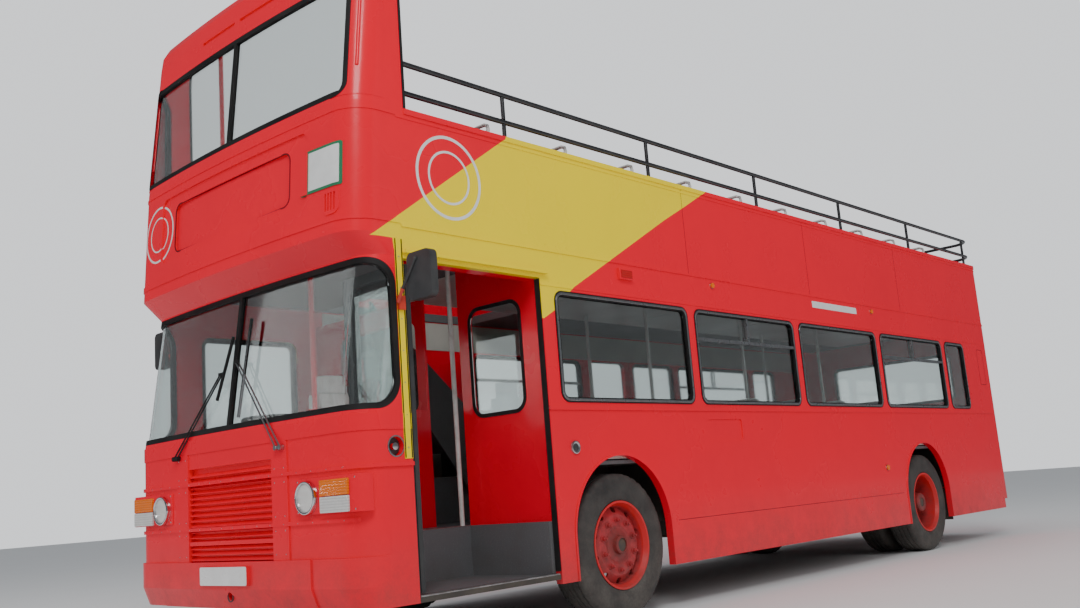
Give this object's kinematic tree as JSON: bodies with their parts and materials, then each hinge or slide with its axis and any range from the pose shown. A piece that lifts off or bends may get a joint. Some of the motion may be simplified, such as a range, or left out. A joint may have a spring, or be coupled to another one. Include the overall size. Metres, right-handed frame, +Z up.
{
  "type": "open top double decker bus",
  "caption": "Open top double decker bus with a glazed front dome, guard rails round the upper deck, a front entrance, steered front wheels and twin rear wheels.",
  "frame": {"origin": "on the ground in the middle of the body's length and width", "axes": "+Z up, the front faces -Y, +X is the nearside with the entrance"},
  "size_m": [3.1, 9.524, 4.314],
  "materials": {
    "red_paint": "smooth",
    "glass": "polished",
    "rubber": "smooth",
    "tyre": "textured",
    "wheel_red": "smooth",
    "black_steel": "smooth",
    "grey_steel": "smooth",
    "cast": "rough",
    "vinyl": "smooth",
    "moquette": "woven",
    "lens": "polished",
    "floor": "textured",
    "dark_plastic": "smooth"
  },
  "bodies": {
    "bus_body": {"chassis_frame": "grey_steel", "dash_console": "dark_plastic", "driver_seat": "moquette", "engine": "cast", "front_axle_beam": "cast", "front_bumper": "red_paint", "front_dome": "red_paint", "front_grille": "red_paint", "front_lower_panel": "red_paint", "front_upper_panel": "red_paint", "fuel_tank": "grey_steel", "glazing_frames": "rubber", "guard_rails": "black_steel", "lamps": "lens", "lower_floor": "floor", "lower_seats": "moquette", "mirrors": "dark_plastic", "nearside_lower_side": "red_paint", "nearside_upper_side": "red_paint", "offside_lower_side": "red_paint", "offside_upper_side": "red_paint", "partitions": "red_paint", "rear_axle": "cast", "rear_panel": "red_paint", "side_windows": "glass", "staircase": "floor", "upper_floor": "floor", "upper_seats": "vinyl", "windscreens": "glass", "wipers": "rubber"},
    "nearside_front_wheel": {"nearside_front_wheel": "wheel_red", "nearside_front_tyre": "tyre"},
    "offside_front_wheel": {"offside_front_wheel": "wheel_red", "offside_front_tyre": "tyre"},
    "nearside_rear_wheels": {"nearside_rear_wheels": "wheel_red", "nearside_rear_tyres": "tyre"},
    "offside_rear_wheels": {"offside_rear_wheels": "wheel_red", "offside_rear_tyres": "tyre"},
    "nearside_knuckle": {"nearside_steering_knuckle": "cast"},
    "offside_knuckle": {"offside_steering_knuckle": "cast"},
    "steering_wheel": {"steering_wheel": "dark_plastic"},
    "engine_lid": {"engine_lid": "red_paint"},
    "emergency_door": {"emergency_door": "red_paint"},
    "entrance_front_leaf": {"entrance_front_leaf": "dark_plastic"},
    "entrance_rear_leaf": {"entrance_rear_leaf": "dark_plastic"}
  },
  "joints": [
    {"name": "nearside_steer", "type": "hinge", "parent": "bus_body", "child": "nearside_knuckle", "pos_m": [0.985, -2.49, 0.478], "axis": [0, 0, 1], "range_deg": [-38, 38]},
    {"name": "offside_steer", "type": "hinge", "parent": "bus_body", "child": "offside_knuckle", "pos_m": [-0.985, -2.49, 0.478], "axis": [0, 0, 1], "range_deg": [-38, 38]},
    {"name": "nearside_front_spin", "type": "hinge", "parent": "nearside_knuckle", "child": "nearside_front_wheel", "pos_m": [1.1, -2.49, 0.478], "axis": [1, 0, 0], "continuous": true},
    {"name": "offside_front_spin", "type": "hinge", "parent": "offside_knuckle", "child": "offside_front_wheel", "pos_m": [-1.1, -2.49, 0.478], "axis": [1, 0, 0], "continuous": true},
    {"name": "nearside_rear_spin", "type": "hinge", "parent": "bus_body", "child": "nearside_rear_wheels", "pos_m": [0.95, 2.463, 0.478], "axis": [1, 0, 0], "continuous": true},
    {"name": "offside_rear_spin", "type": "hinge", "parent": "bus_body", "child": "offside_rear_wheels", "pos_m": [-0.95, 2.463, 0.478], "axis": [1, 0, 0], "continuous": true},
    {"name": "steering_wheel_turn", "type": "hinge", "parent": "bus_body", "child": "steering_wheel", "pos_m": [-0.56, -3.985, 1.5], "axis": [0, 0, 1], "range_deg": [-608, 608]},
    {"name": "entrance_front_fold", "type": "hinge", "parent": "bus_body", "child": "entrance_front_leaf", "pos_m": [1.177, -4.275, 1.3], "axis": [0, 0, 1], "range_deg": [-88, 0]},
    {"name": "entrance_rear_fold", "type": "hinge", "parent": "entrance_front_leaf", "child": "entrance_rear_leaf", "pos_m": [0.651, -4.256, 1.3], "axis": [0, 0, 1], "range_deg": [0, 176]},
    {"name": "emergency_door_swing", "type": "hinge", "parent": "bus_body", "child": "emergency_door", "pos_m": [-1.259, 0.166, 1.5], "axis": [0, 0, 1], "range_deg": [0, 100]},
    {"name": "engine_lid_lift", "type": "hinge", "parent": "bus_body", "child": "engine_lid", "pos_m": [0, 4.754, 1.332], "axis": [1, 0, 0], "range_deg": [0, 80]}
  ],
  "couplings": [
    {"joint": "offside_steer", "follows": "nearside_steer", "ratio": 1},
    {"joint": "steering_wheel_turn", "follows": "nearside_steer", "ratio": 16},
    {"joint": "entrance_rear_fold", "follows": "entrance_front_fold", "ratio": -2}
  ]
}
